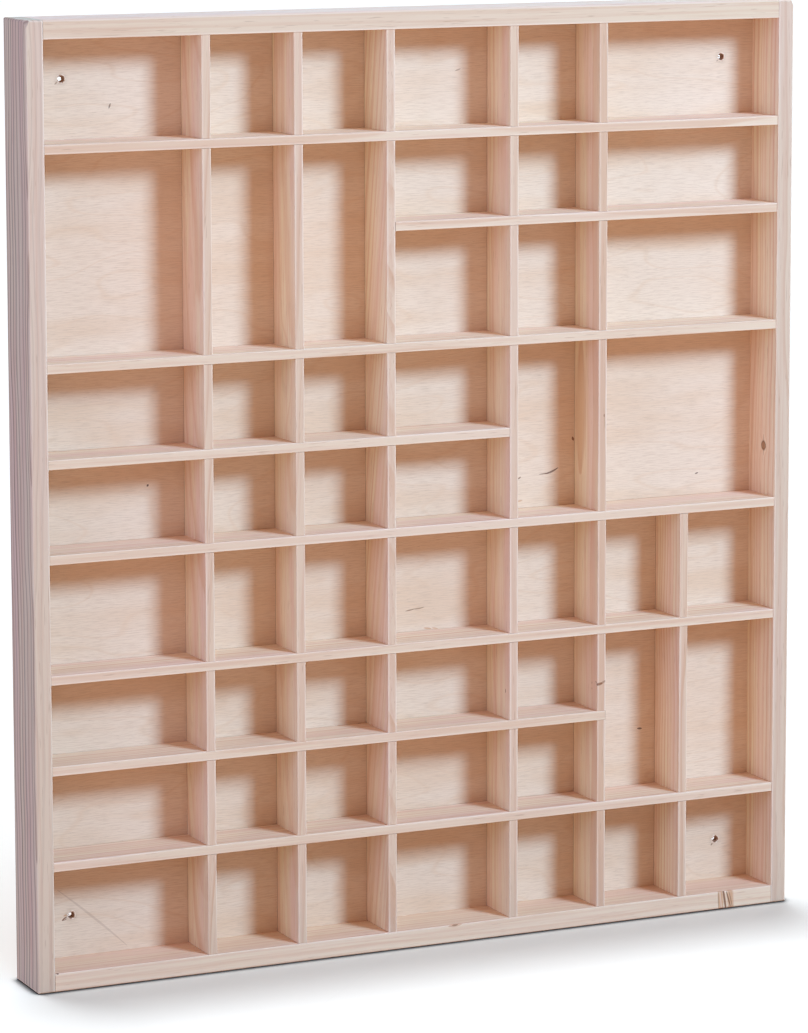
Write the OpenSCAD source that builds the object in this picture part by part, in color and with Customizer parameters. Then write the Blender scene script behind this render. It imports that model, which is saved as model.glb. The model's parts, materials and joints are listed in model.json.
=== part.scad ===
// Open type case: a shallow wooden tray of small compartments that stands on edge or hangs on a wall.
// Two side boards and two rails hold a plywood back, and half-lapped shelves and uprights divide the inside.
// The front faces -Y, the case stands on Z = 0, and the origin lies under the middle of the case.

/* [Column widths] */
// Clear width of column 1, at the left
column_1_w = 77.5; // [45:0.5:120]
// Clear width of column 2
column_2_w = 42; // [20:0.5:90]
// Clear width of column 3
column_3_w = 43; // [20:0.5:90]
// Clear width of column 4
column_4_w = 60.5; // [20:0.5:90]
// Clear width of column 5
column_5_w = 43.5; // [20:0.5:90]
// Clear width of column 6
column_6_w = 41; // [20:0.5:90]
// Clear width of column 7, at the right
column_7_w = 48.5; // [35:0.5:90]

/* [Row heights] */
// Clear height of row 1, at the top
row_1_h = 48; // [35:0.5:90]
// Clear height of row 2
row_2_h = 38.5; // [20:0.5:90]
// Clear height of row 3
row_3_h = 53.5; // [20:0.5:90]
// Clear height of row 4
row_4_h = 40; // [20:0.5:90]
// Clear height of row 5
row_5_h = 40; // [20:0.5:90]
// Clear height of row 6
row_6_h = 52; // [20:0.5:90]
// Clear height of row 7
row_7_h = 38.5; // [20:0.5:90]
// Clear height of row 8
row_8_h = 41; // [20:0.5:90]
// Clear height of row 9, at the bottom
row_9_h = 48.5; // [35:0.5:90]

/* [Boards] */
// Clear depth from the front of the frame to the back panel
compartment_d = 26; // [20:0.5:60]
// Thickness of the left and right side boards
side_t = 8.5; // [7.5:0.5:15]
// Thickness of the top and bottom rails
rail_t = 9; // [7.5:0.5:15]
// Thickness of the shelves and uprights
divider_t = 4.5; // [3:0.5:8]
// How far the shelves and uprights sit behind the front of the frame
divider_setback = 0.3; // [0:0.1:2]
// Thickness of the plywood back panel
panel_t = 4; // [3:0.5:6]

/* [Edges] */
// Radius of the frame's outer edges
outer_edge_r = 1.2; // [0.4:0.1:2]
// Radius of the frame's inner front edges
inner_edge_r = 0.4; // [0.2:0.1:0.8]
// Radius of the dividers' front edges
divider_edge_r = 0.4; // [0.2:0.1:1]
// Width of the sanded flat on the two upper front corners
sanded_w = 2; // [1:0.5:4]
// Height of that flat
sanded_h = 4.5; // [1:0.5:8]
// Depth of that flat
sanded_d = 4; // [1:0.5:6]

/* [Lap and rabbet joints] */
// Play of a divider in the slot of the one that crosses it
lap_play = 0.1; // [0:0.05:0.4]
// How far the back panel reaches into each frame board
rabbet_w = 4.5; // [3:0.5:5.5]
// Gap between the back panel's edge and its rabbet
panel_gap = 0.2; // [0:0.05:0.5]

/* [Corner dowels] */
// Diameter of a dowel
dowel_d = 4; // [3:0.5:5]
// Length of a dowel
dowel_l = 18; // [12:1:30]
// How far a dowel reaches into the side board
dowel_in_side = 5; // [3:0.5:6]
// From the frame's front, or from the back panel, to the middle of a dowel
dowel_inset = 7; // [4:0.5:7]
// Chamfer on the ends of a dowel
dowel_chamfer = 0.5; // [0.2:0.1:1]
// Play of a dowel in its hole
dowel_play = 0.1; // [0:0.05:0.3]
// Room for glue past each end of a dowel
glue_room = 0.5; // [0:0.1:1]

/* [Panel pins] */
// Diameter of a pin
pin_d = 1.2; // [0.8:0.1:1.6]
// Length of a pin with its head
pin_l = 14; // [10:1:18]
// Diameter of a pin's head
pin_head_d = 2.4; // [2:0.1:3]
// Thickness of a pin's head
pin_head_t = 0.6; // [0.4:0.1:1]
// Length of a pin's point
pin_point_l = 2; // [1:0.5:3]
// Pins along each side board
pins_per_side = 4; // [2:1:8]
// Pins along each rail
pins_per_rail = 3; // [2:1:8]

/* [Wall screws] */
// Diameter of the four screw holes in the back panel
screw_hole_d = 4; // [3:0.5:6]
// From a side board's inner face to the middle of a screw hole
screw_from_side = 18; // [8:0.5:30]
// From a rail's inner face to the middle of a screw hole
screw_from_rail = 20; // [8:0.5:30]

/* [Hidden] */
column_w = [column_1_w, column_2_w, column_3_w, column_4_w, column_5_w, column_6_w, column_7_w];
row_h = [row_1_h, row_2_h, row_3_h, row_4_h, row_5_h, row_6_h, row_7_h, row_8_h, row_9_h];

// What each shelf runs between: 0 is the left side board, 7 the right one, and other numbers are uprights.
shelf_ends = [[0, 7], [3, 7], [0, 7], [0, 4], [0, 7], [0, 7], [0, 5], [0, 7]];
// Shelves whose right end is lapped across the front of the upright that it stops on
end_lapped = [false, false, false, false, false, false, true, false];
// What each upright runs between: 0 is the top rail, 9 the bottom one, and other numbers are shelves.
upright_ends = [[0, 9], [0, 9], [0, 9], [0, 9], [0, 9], [5, 9]];

// Sum of the first few values of a list
function sum_of_first(values, count) = values * [for (k = [1:len(values)]) k <= count ? 1 : 0];

inner_w = sum_of_first(column_w, len(column_w)) + len(upright_ends) * divider_t;
inner_h = sum_of_first(row_h, len(row_h)) + len(shelf_ends) * divider_t;
case_w = inner_w + 2 * side_t;
case_h = inner_h + 2 * rail_t;
case_d = compartment_d + panel_t;

front_y = -case_d / 2;
back_y = case_d / 2;
panel_y = front_y + compartment_d;
divider_y = front_y + divider_setback;
divider_d = panel_y - divider_y;
// Plane where the two halves of every lap joint meet
lap_y = divider_y + divider_d / 2;

// Left face of upright j, and underside of shelf i
function upright_x(j) = -inner_w / 2 + sum_of_first(column_w, j) + (j - 1) * divider_t;
function shelf_z(i) = case_h - rail_t - sum_of_first(row_h, i) - i * divider_t;

// Ends of each shelf and upright, on the board that stops it
function shelf_left(i) = shelf_ends[i - 1][0] == 0
    ? -inner_w / 2
    : upright_x(shelf_ends[i - 1][0]) + divider_t;
function shelf_right(i) = shelf_ends[i - 1][1] == len(column_w)
    ? inner_w / 2
    : upright_x(shelf_ends[i - 1][1]) + (end_lapped[i - 1] ? divider_t : 0);
function upright_top(j) = upright_ends[j - 1][0] == 0 ? case_h - rail_t : shelf_z(upright_ends[j - 1][0]);
function upright_bottom(j) = upright_ends[j - 1][1] == len(row_h)
    ? rail_t
    : shelf_z(upright_ends[j - 1][1]) + divider_t;

// A shelf and an upright cross where each runs on past the other, or at a lapped end.
function crosses(i, j) =
    shelf_ends[i - 1][0] < j
    && (j < shelf_ends[i - 1][1] || (end_lapped[i - 1] && j == shelf_ends[i - 1][1]))
    && upright_ends[j - 1][0] < i && i < upright_ends[j - 1][1];

// Middles of equal shares of a length that begins at start
function middles(start, length, shares) = [for (k = [1:shares]) start + length * (k - 0.5) / shares];

// Pins stand in the middle of the ledge that carries the panel, evenly along each board.
pin_x = inner_w / 2 + rabbet_w / 2;
pin_z = rail_t - rabbet_w / 2;
pin_places = concat(
    [for (x = [-pin_x, pin_x], z = middles(rail_t, inner_h, pins_per_side)) [x, z]],
    [for (z = [pin_z, case_h - pin_z], x = middles(-inner_w / 2, inner_w, pins_per_rail)) [x, z]]
);

screw_x = inner_w / 2 - screw_from_side;
screw_z = rail_t + screw_from_rail;

pine = "#e4d3c4";
pale_pine = "#ead9ca";
plywood = "#efe0cd";
beech = "#d9b48c";
steel = "#8d8f94";

// How far a cutter passes the face that it opens
past = 1;
$fn = 48;

// What a round edge of radius r takes off a square corner at the origin
module edge_waste(r) {
    difference() {
        translate([-past, -past]) square(r + past);
        translate([r, r]) circle(r);
    }
}

// Rectangle with a radius for each corner, anticlockwise from the origin; 0 leaves a corner square
module eased_rectangle(size, radii) {
    corners = [[0, 0], [size.x, 0], size, [0, size.y]];
    difference() {
        square(size);
        for (k = [0:3]) {
            if (radii[k] > 0) translate(corners[k]) rotate(90 * k) edge_waste(radii[k]);
        }
    }
}

// Runs a section drawn as depth and height along +X
module along_x(length) {
    rotate([90, 0, 90]) linear_extrude(length) children();
}

// Runs an outline drawn as seen from the front along +Y
module along_y(length) {
    translate([0, length, 0]) rotate([90, 0, 0]) linear_extrude(length) children();
}

// Space that the back panel lies in, open to the back
module panel_rabbet() {
    reach = rabbet_w;
    translate([-inner_w / 2 - reach, panel_y, rail_t - reach])
        cube([inner_w + 2 * reach, panel_t + past, inner_h + 2 * reach]);
}

// Half-space past the sanded flat on the upper left front corner
module corner_sanding() {
    outward = [-1 / sanded_w, -1 / sanded_d, 1 / sanded_h];
    waste = 2 * (sanded_w + sanded_d + sanded_h);
    translate([sanded_w - case_w / 2, front_y, case_h])
        rotate([0, acos(outward.z / norm(outward)), atan2(outward.y, outward.x)])
            translate([-waste / 2, -waste / 2, 0]) cube(waste);
}

// Puts its child, which lies along +X from the side board's inner face, at each dowel's place
module at_each_dowel() {
    depths = [front_y + dowel_inset, panel_y - dowel_inset];
    heights = [rail_t / 2, case_h - rail_t / 2];
    for (side = [0, 1], y = depths, z = heights) {
        mirror([side, 0, 0]) translate([-inner_w / 2, y, z]) rotate([0, 90, 0]) children();
    }
}

module dowel_hole() {
    translate([0, 0, -dowel_in_side - glue_room])
        cylinder(d = dowel_d + dowel_play, h = dowel_l + 2 * glue_room);
}

module dowel() {
    r = dowel_d / 2;
    translate([0, 0, -dowel_in_side]) rotate_extrude() polygon([
        [0, 0], [r - dowel_chamfer, 0], [r, dowel_chamfer],
        [r, dowel_l - dowel_chamfer], [r - dowel_chamfer, dowel_l], [0, dowel_l]
    ]);
}

// Puts its child, which points along +Z from the panel's back face, at each pin's place
module at_each_pin() {
    for (place = pin_places) {
        translate([place.x, back_y, place.y]) rotate([90, 0, 0]) children();
    }
}

// A driven pin, flush with the panel, and also the hole that it makes for itself
module pin() {
    r = pin_d / 2;
    head_r = pin_head_d / 2;
    rotate_extrude() polygon([
        [0, 0], [head_r, 0], [head_r, pin_head_t], [r, pin_head_t],
        [r, pin_l - pin_point_l], [0, pin_l]
    ]);
}

// Left side board: full height, round along its outer edges, with the rabbet stopped short of both ends
module side_board() {
    difference() {
        intersection() {
            translate([-case_w / 2, front_y, 0]) linear_extrude(case_h)
                eased_rectangle([side_t, case_d], [outer_edge_r, inner_edge_r, 0, outer_edge_r]);
            translate([-case_w / 2, front_y, 0]) along_x(side_t)
                eased_rectangle([case_d, case_h], [outer_edge_r, outer_edge_r, outer_edge_r, outer_edge_r]);
            translate([-case_w / 2, front_y, 0]) along_y(case_d)
                eased_rectangle([side_t, case_h], [outer_edge_r, 0, 0, outer_edge_r]);
        }
        panel_rabbet();
        corner_sanding();
        at_each_dowel() dowel_hole();
        at_each_pin() pin();
    }
}

// Bottom rail: butts between the side boards, round along its outer edges
module rail() {
    difference() {
        translate([-inner_w / 2, front_y, 0]) along_x(inner_w)
            eased_rectangle([case_d, rail_t], [outer_edge_r, outer_edge_r, 0, inner_edge_r]);
        panel_rabbet();
        at_each_dowel() dowel_hole();
        at_each_pin() pin();
    }
}

module left_side() {
    color(pine) side_board();
}

module right_side() {
    color(pine) mirror([1, 0, 0]) side_board();
}

module bottom_rail() {
    color(pine) rail();
}

module top_rail() {
    color(pine) translate([0, 0, case_h]) mirror([0, 0, 1]) rail();
}

module back_panel() {
    reach = rabbet_w - panel_gap;
    color(plywood) difference() {
        translate([-inner_w / 2 - reach, panel_y, rail_t - reach])
            cube([inner_w + 2 * reach, panel_t, inner_h + 2 * reach]);
        for (x = [-screw_x, screw_x], z = [screw_z, case_h - screw_z]) {
            translate([x, panel_y - past, z]) rotate([-90, 0, 0])
                cylinder(d = screw_hole_d, h = panel_t + 2 * past);
        }
        at_each_pin() pin();
    }
}

// Section of a shelf or upright, drawn as depth and thickness, with its two front edges eased
module divider_section() {
    eased_rectangle([divider_d, divider_t], [divider_edge_r, 0, 0, divider_edge_r]);
}

// Slot where shelf i and upright j cross, from y to y + depth
module lap_slot(i, j, y, depth) {
    width = divider_t + lap_play;
    translate([upright_x(j) - lap_play / 2, y, shelf_z(i) - lap_play / 2]) cube([width, depth, width]);
}

// Shelves run through at the front, so their slots open to the back.
module shelf(i) {
    color(pale_pine) difference() {
        translate([shelf_left(i), divider_y, shelf_z(i)])
            along_x(shelf_right(i) - shelf_left(i)) divider_section();
        for (j = [1:len(upright_ends)]) {
            if (crosses(i, j)) lap_slot(i, j, lap_y, panel_y - lap_y + past);
        }
    }
}

// Uprights pass behind the shelves, so their slots open to the front.
module upright(j) {
    color(pale_pine) difference() {
        translate([upright_x(j) + divider_t, divider_y, upright_bottom(j)])
            linear_extrude(upright_top(j) - upright_bottom(j)) rotate(90) divider_section();
        for (i = [1:len(shelf_ends)]) {
            if (crosses(i, j)) lap_slot(i, j, divider_y - past, lap_y - divider_y + past);
        }
    }
}

module corner_dowels() {
    color(beech) at_each_dowel() dowel();
}

module panel_pins() {
    color(steel) at_each_pin() pin();
}

left_side();
right_side();
top_rail();
bottom_rail();
back_panel();
for (i = [1:len(shelf_ends)]) {
    shelf(i);
}
for (j = [1:len(upright_ends)]) {
    upright(j);
}
corner_dowels();
panel_pins();
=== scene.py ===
import json
import math
import random

import bpy
from mathutils import Matrix, Vector


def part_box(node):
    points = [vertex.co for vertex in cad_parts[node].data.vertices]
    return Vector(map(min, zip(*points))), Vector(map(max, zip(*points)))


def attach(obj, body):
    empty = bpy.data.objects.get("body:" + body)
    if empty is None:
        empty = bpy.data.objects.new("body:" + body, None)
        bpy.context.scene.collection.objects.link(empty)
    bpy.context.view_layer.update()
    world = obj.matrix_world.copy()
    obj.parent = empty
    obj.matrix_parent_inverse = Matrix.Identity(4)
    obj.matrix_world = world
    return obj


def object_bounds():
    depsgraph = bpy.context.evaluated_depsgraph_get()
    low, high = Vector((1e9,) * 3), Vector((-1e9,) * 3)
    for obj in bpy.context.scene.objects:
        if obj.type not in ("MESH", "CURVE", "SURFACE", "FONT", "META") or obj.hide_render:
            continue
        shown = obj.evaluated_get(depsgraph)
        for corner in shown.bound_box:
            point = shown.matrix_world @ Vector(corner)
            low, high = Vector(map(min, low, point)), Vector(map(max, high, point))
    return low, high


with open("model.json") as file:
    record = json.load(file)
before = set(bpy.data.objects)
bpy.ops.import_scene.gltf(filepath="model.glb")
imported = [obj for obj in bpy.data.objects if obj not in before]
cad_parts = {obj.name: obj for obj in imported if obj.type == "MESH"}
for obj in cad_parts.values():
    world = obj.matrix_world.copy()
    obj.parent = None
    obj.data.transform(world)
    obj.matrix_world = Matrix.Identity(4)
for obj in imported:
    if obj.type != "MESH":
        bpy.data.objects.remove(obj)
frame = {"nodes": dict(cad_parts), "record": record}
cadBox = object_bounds()
boards = frame["nodes"]
mm = 0.001
print("frame loaded with", len(boards), "pieces")


# Camera at the photograph's angle; the image is 808 by 1033 pixels
cameraSetup = {
    "place": (-0.8814, -1.8943, 0.5689),
    "yaw": 24.842,
    "pitchDown": 7.75,
    "roll": -0.116,
    "focalPixels": 4394.8,
    "imageHeight": 1033,
    "sensor": 36,
    "shiftY": -0.15,
}


def makeCamera(setup):
    yaw = math.radians(setup["yaw"])
    pitch = math.radians(setup["pitchDown"])
    roll = math.radians(setup["roll"])
    ahead = Vector((math.sin(yaw) * math.cos(pitch), math.cos(yaw) * math.cos(pitch), -math.sin(pitch)))
    level = Vector((math.cos(yaw), -math.sin(yaw), 0))
    upright = level.cross(ahead)
    right = level * math.cos(roll) + upright * math.sin(roll)
    up = upright * math.cos(roll) - level * math.sin(roll)
    data = bpy.data.cameras.new("camera")
    data.sensor_width = setup["sensor"]
    data.lens = setup["focalPixels"] / setup["imageHeight"] * setup["sensor"]
    data.shift_y = setup["shiftY"]
    camera = bpy.data.objects.new("camera", data)
    turned = Matrix((right, up, -ahead)).transposed().to_4x4()
    camera.matrix_world = Matrix.Translation(setup["place"]) @ turned
    bpy.context.scene.collection.objects.link(camera)
    bpy.context.scene.camera = camera


makeCamera(cameraSetup)
print("camera placed")


# Small helpers for node trees
def connect(tree, value, socket):
    if isinstance(value, bpy.types.NodeSocket):
        tree.links.new(value, socket)
    else:
        socket.default_value = value


def mathNode(tree, operation, *values):
    node = tree.nodes.new("ShaderNodeMath")
    node.operation = operation
    for value, socket in zip(values, node.inputs):
        connect(tree, value, socket)
    return node.outputs[0]


def vectorNode(tree, operation, *values, output=0):
    node = tree.nodes.new("ShaderNodeVectorMath")
    node.operation = operation
    for value, socket in zip(values, node.inputs):
        connect(tree, value, socket)
    return node.outputs[output]


def splitVector(tree, vector):
    node = tree.nodes.new("ShaderNodeSeparateXYZ")
    connect(tree, vector, node.inputs[0])
    return node.outputs


def joinVector(tree, x, y, z):
    node = tree.nodes.new("ShaderNodeCombineXYZ")
    for value, socket in zip((x, y, z), node.inputs):
        connect(tree, value, socket)
    return node.outputs[0]


def softStep(tree, value, low, high, start=0.0, end=1.0):
    node = tree.nodes.new("ShaderNodeMapRange")
    node.interpolation_type = "SMOOTHSTEP"
    labels = ("Value", "From Min", "From Max", "To Min", "To Max")
    for item, label in zip((value, low, high, start, end), labels):
        connect(tree, item, node.inputs[label])
    return node.outputs[0]


# Scale is how many features the noise has along each axis of the vector
def noiseNode(tree, vector, scale, detail=2.0, roughness=0.5):
    node = tree.nodes.new("ShaderNodeTexNoise")
    node.inputs["Scale"].default_value = 1.0
    node.inputs["Detail"].default_value = detail
    node.inputs["Roughness"].default_value = roughness
    connect(tree, vectorNode(tree, "MULTIPLY", vector, scale), node.inputs["Vector"])
    return node.outputs[0]


def aroundZero(tree, noise):
    return mathNode(tree, "SUBTRACT", noise, 0.5)


def mixColours(tree, share, first, second, blend="MIX"):
    node = tree.nodes.new("ShaderNodeMix")
    node.data_type = "RGBA"
    node.blend_type = blend
    connect(tree, share, node.inputs[0])
    for value, socket in ((first, node.inputs[6]), (second, node.inputs[7])):
        connect(tree, value if isinstance(value, bpy.types.NodeSocket) else (*value, 1.0), socket)
    return node.outputs[2]


def startGroup(name, inputs, outputs):
    tree = bpy.data.node_groups.new(name, "ShaderNodeTree")
    for label, kind in inputs:
        tree.interface.new_socket(name=label, in_out="INPUT", socket_type="NodeSocket" + kind)
    for label in outputs:
        tree.interface.new_socket(name=label, in_out="OUTPUT", socket_type="NodeSocketFloat")
    enter = tree.nodes.new("NodeGroupInput").outputs
    leave = tree.nodes.new("NodeGroupOutput").inputs
    return tree, enter, leave


def useGroup(tree, group, **values):
    node = tree.nodes.new("ShaderNodeGroup")
    node.node_tree = group
    for label, value in values.items():
        connect(tree, value, node.inputs[label])
    return node.outputs


# Growth rings round a pith that lies along Z, and fibres along it; coordinates arrive in metres,
# and the noises have their features per mm
pineFigure = {
    "drift": (0.016, 0.016, 0.008),
    "ripple": (0.11, 0.11, 0.018),
    "rippleReach": 0.9,
    "uneven": (0.13, 0, 0),
    "unevenYears": 2.4,
    "denseRange": (0.45, 0.9),
    "stopRange": (0.92, 1.0),
    "fibre": (0.55, 0.55, 0.011),
    "blush": (0.09, 0.09, 0.007),
    "dash": (1.6, 1.6, 0.09),
    "dashRange": (0.64, 0.76),
    "lateHeight": 0.45,
}


def makePineGrain(figure):
    tree, enter, leave = startGroup(
        "pineGrain",
        (("Vector", "Vector"), ("Pitch", "Float"), ("Wander", "Float"), ("Bend", "Float"),
         ("Seed", "Vector"), ("Least", "Float")),
        ("Late", "Fibre", "Blush", "Fleck", "Height"),
    )
    place = vectorNode(tree, "SCALE", enter["Vector"])
    place.node.inputs["Scale"].default_value = 1 / mm
    axes = splitVector(tree, place)
    shifted = vectorNode(tree, "ADD", place, enter["Seed"])
    drift = noiseNode(tree, shifted, figure["drift"])
    ripple = noiseNode(tree, shifted, figure["ripple"])
    through = mathNode(tree, "MULTIPLY", axes["Y"], axes["Y"])
    away = mathNode(tree, "SQRT", mathNode(tree, "MULTIPLY_ADD", axes["X"], axes["X"], through))
    away = mathNode(tree, "MULTIPLY_ADD", aroundZero(tree, drift), enter["Wander"], away)
    away = mathNode(tree, "MULTIPLY_ADD", aroundZero(tree, ripple), figure["rippleReach"], away)
    away = mathNode(tree, "ADD", away, enter["Bend"])
    uneven = noiseNode(tree, joinVector(tree, away, 0.0, 0.0), figure["uneven"], 1.0)
    even = mathNode(tree, "DIVIDE", away, enter["Pitch"])
    year = mathNode(tree, "MULTIPLY_ADD", uneven, figure["unevenYears"], even)
    season = mathNode(tree, "FRACT", year)
    dense = softStep(tree, season, *figure["denseRange"])
    stop = softStep(tree, season, *figure["stopRange"], 1.0, 0.0)
    # Each year's late wood has a strength of its own
    whole = tree.nodes.new("ShaderNodeTexWhiteNoise")
    whole.noise_dimensions = "1D"
    connect(tree, mathNode(tree, "FLOOR", year), whole.inputs["W"])
    spare = mathNode(tree, "SUBTRACT", 1.0, enter["Least"])
    strength = mathNode(tree, "MULTIPLY_ADD", whole.outputs[0], spare, enter["Least"])
    late = mathNode(tree, "MULTIPLY", mathNode(tree, "MULTIPLY", dense, stop), strength)
    fibre = noiseNode(tree, shifted, figure["fibre"], 5.0, 0.66)
    blush = noiseNode(tree, shifted, figure["blush"])
    dash = noiseNode(tree, shifted, figure["dash"], 1.0)
    connect(tree, late, leave["Late"])
    connect(tree, fibre, leave["Fibre"])
    connect(tree, blush, leave["Blush"])
    connect(tree, softStep(tree, dash, *figure["dashRange"]), leave["Fleck"])
    connect(tree, mathNode(tree, "MULTIPLY_ADD", late, figure["lateHeight"], fibre), leave["Height"])
    return tree


# How deep a point lies under the two faces across each axis of a board
def makeBoardDepths():
    tree, enter, leave = startGroup(
        "boardDepths",
        (("Vector", "Vector"), ("Low", "Vector"), ("High", "Vector")),
        ("X", "Y", "Z"),
    )
    fromLow = vectorNode(tree, "SUBTRACT", enter["Vector"], enter["Low"])
    fromHigh = vectorNode(tree, "SUBTRACT", enter["High"], enter["Vector"])
    nearer = vectorNode(tree, "MINIMUM", fromLow, fromHigh)
    for depth, name in zip(splitVector(tree, nearer), "XYZ"):
        connect(tree, depth, leave[name])
    return tree


# Eased edges, lightened partly as wear and partly as painted highlight: the mask is strongest where a round
# edge faces the given way
wearAndHighlightFigure = {
    "easedRange": (0.06, 0.4),
    "towardsRange": (-0.1, 0.6),
    "least": 0.25,
}


def makeEdgeWear(figure):
    tree, enter, leave = startGroup(
        "edgeWearAndHighlight",
        (("Normal", "Vector"), ("Facing", "Vector")),
        ("WornAndLit",),
    )
    x, y, z = splitVector(tree, vectorNode(tree, "ABSOLUTE", enter["Normal"]))
    crossed = mathNode(tree, "MULTIPLY_ADD", y, z, mathNode(tree, "MULTIPLY", x, y))
    crossed = mathNode(tree, "MULTIPLY_ADD", x, z, crossed)
    eased = softStep(tree, crossed, *figure["easedRange"])
    towards = vectorNode(tree, "DOT_PRODUCT", enter["Normal"], enter["Facing"], output=1)
    turnedTo = softStep(tree, towards, *figure["towardsRange"], figure["least"], 1.0)
    connect(tree, mathNode(tree, "MULTIPLY", eased, turnedTo), leave["WornAndLit"])
    return tree


# A knot: Core and Ring are masks, and Bend pushes the growth rings aside; ranges are shares of its reach
knotFigure = {
    "rough": (1.7, 1.7, 1.7),
    "roughShare": 0.4,
    "coreRange": (0.7, 1.0),
    "innerRange": (0.6, 0.9),
    "outerRange": (0.95, 1.7),
    "bendRange": (0.3, 3.4),
}


def makeKnot(figure):
    tree, enter, leave = startGroup(
        "knot",
        (("Vector", "Vector"), ("Centre", "Vector"), ("Reach", "Vector")),
        ("Core", "Ring", "Bend"),
    )
    apart = vectorNode(tree, "SUBTRACT", enter["Vector"], enter["Centre"])
    apart = vectorNode(tree, "DIVIDE", apart, enter["Reach"])
    rough = noiseNode(tree, apart, figure["rough"], 3.0)
    away = vectorNode(tree, "LENGTH", apart, output=1)
    away = mathNode(tree, "MULTIPLY_ADD", aroundZero(tree, rough), figure["roughShare"], away)
    inner = softStep(tree, away, *figure["innerRange"])
    outer = softStep(tree, away, *figure["outerRange"], 1.0, 0.0)
    connect(tree, softStep(tree, away, *figure["coreRange"], 1.0, 0.0), leave["Core"])
    connect(tree, mathNode(tree, "MULTIPLY", inner, outer), leave["Ring"])
    connect(tree, softStep(tree, away, *figure["bendRange"], 1.0, 0.0), leave["Bend"])
    return tree


# Rotary-cut veneer with its grain along X; coordinates arrive in metres, and the noises have their
# features per mm
veneerFigure = {
    "sway": (0.015, 0.5, 0.03),
    "swayReach": 4.0,
    "fibre": (0.13, 1.0, 1.9),
    "mottle": (0.012, 0.6, 0.075),
    "contour": (0.007, 0.4, 0.024),
    "contourLines": 22.0,
    "dash": (0.2, 1.0, 2.6),
    "poreRange": (0.62, 0.74),
    "poreDepth": 0.6,
}


def makeVeneer(figure):
    tree, enter, leave = startGroup(
        "veneer",
        (("Vector", "Vector"),),
        ("Fibre", "Mottle", "Figure", "Pore", "Height"),
    )
    place = vectorNode(tree, "SCALE", enter["Vector"])
    place.node.inputs["Scale"].default_value = 1 / mm
    sway = aroundZero(tree, noiseNode(tree, place, figure["sway"]))
    lift = joinVector(tree, 0.0, 0.0, mathNode(tree, "MULTIPLY", sway, figure["swayReach"]))
    swayed = vectorNode(tree, "ADD", place, lift)
    fibre = noiseNode(tree, swayed, figure["fibre"], 3.0, 0.62)
    mottle = noiseNode(tree, swayed, figure["mottle"], 3.0)
    contour = noiseNode(tree, place, figure["contour"])
    lines = mathNode(tree, "MULTIPLY", contour, figure["contourLines"])
    pore = softStep(tree, noiseNode(tree, swayed, figure["dash"]), *figure["poreRange"])
    sunk = mathNode(tree, "MULTIPLY", pore, figure["poreDepth"])
    connect(tree, fibre, leave["Fibre"])
    connect(tree, mottle, leave["Mottle"])
    connect(tree, mathNode(tree, "PINGPONG", lines, 1.0), leave["Figure"])
    connect(tree, pore, leave["Pore"])
    connect(tree, mathNode(tree, "SUBTRACT", fibre, sunk), leave["Height"])
    return tree


# A thin bowed line between two points, in metres; Taper 1 draws its ends to a point
streakFigure = {
    "endLoss": 0.75,
    "softFrom": 0.35,
}


def makeStreak(figure):
    tree, enter, leave = startGroup(
        "streak",
        (("Vector", "Vector"), ("Start", "Vector"), ("End", "Vector"), ("Bow", "Vector"),
         ("Width", "Float"), ("Taper", "Float")),
        ("Line",),
    )
    run = vectorNode(tree, "SUBTRACT", enter["End"], enter["Start"])
    reach = vectorNode(tree, "SUBTRACT", enter["Vector"], enter["Start"])
    along = mathNode(tree, "DIVIDE", vectorNode(tree, "DOT_PRODUCT", reach, run, output=1),
                     vectorNode(tree, "DOT_PRODUCT", run, run, output=1))
    along.node.use_clamp = True
    # The hump is a quarter at the middle of the line and nothing at its ends
    hump = mathNode(tree, "MULTIPLY", along, mathNode(tree, "SUBTRACT", 1.0, along))
    arch = vectorNode(tree, "SCALE", enter["Bow"])
    connect(tree, mathNode(tree, "MULTIPLY", hump, 4.0), arch.node.inputs["Scale"])
    straight = vectorNode(tree, "SCALE", run)
    connect(tree, along, straight.node.inputs["Scale"])
    apart = vectorNode(tree, "SUBTRACT", vectorNode(tree, "SUBTRACT", reach, straight), arch)
    loss = mathNode(tree, "MULTIPLY_ADD", hump, -4 * figure["endLoss"], figure["endLoss"])
    full = mathNode(tree, "SUBTRACT", 1.0, mathNode(tree, "MULTIPLY", loss, enter["Taper"]))
    wide = mathNode(tree, "MULTIPLY", enter["Width"], full)
    far = mathNode(tree, "DIVIDE", vectorNode(tree, "LENGTH", apart, output=1), wide)
    connect(tree, softStep(tree, far, figure["softFrom"], 1.0, 1.0, 0.0), leave["Line"])
    return tree


pineGrain = makePineGrain(pineFigure)
boardDepths = makeBoardDepths()
edgeWearAndHighlight = makeEdgeWear(wearAndHighlightFigure)
knot = makeKnot(knotFigure)
veneer = makeVeneer(veneerFigure)
streak = makeStreak(streakFigure)
print("grain groups built")


def startMaterial(name):
    material = bpy.data.materials.new(name)
    material.use_nodes = True
    tree = material.node_tree
    shader = next(n for n in tree.nodes if n.type == "BSDF_PRINCIPLED")
    return material, tree, shader


def bumpFrom(tree, height, strength, distance, shader):
    node = tree.nodes.new("ShaderNodeBump")
    node.inputs["Strength"].default_value = strength
    node.inputs["Distance"].default_value = distance
    connect(tree, height, node.inputs["Height"])
    connect(tree, node.outputs[0], shader.inputs["Normal"])


def inMetres(point):
    return tuple(value * mm for value in point)


markTints = {
    "ink": (0.13, 0.055, 0.03),
    "brown": (0.27, 0.115, 0.055),
    "orange": (0.64, 0.32, 0.15),
    "honey": (0.86, 0.62, 0.40),
    "pale": (0.92, 0.78, 0.63),
}


# A mark is a line from point to point in mm, with a depth from 0 to 1
def mark(start, end, width, depth, tint, taper=1.0, bow=(0, 0, 0)):
    line = {
        "Start": inMetres(start),
        "End": inMetres(end),
        "Bow": inMetres(bow),
        "Width": width * mm,
        "Taper": taper,
    }
    return line, depth, markTints[tint]


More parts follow.
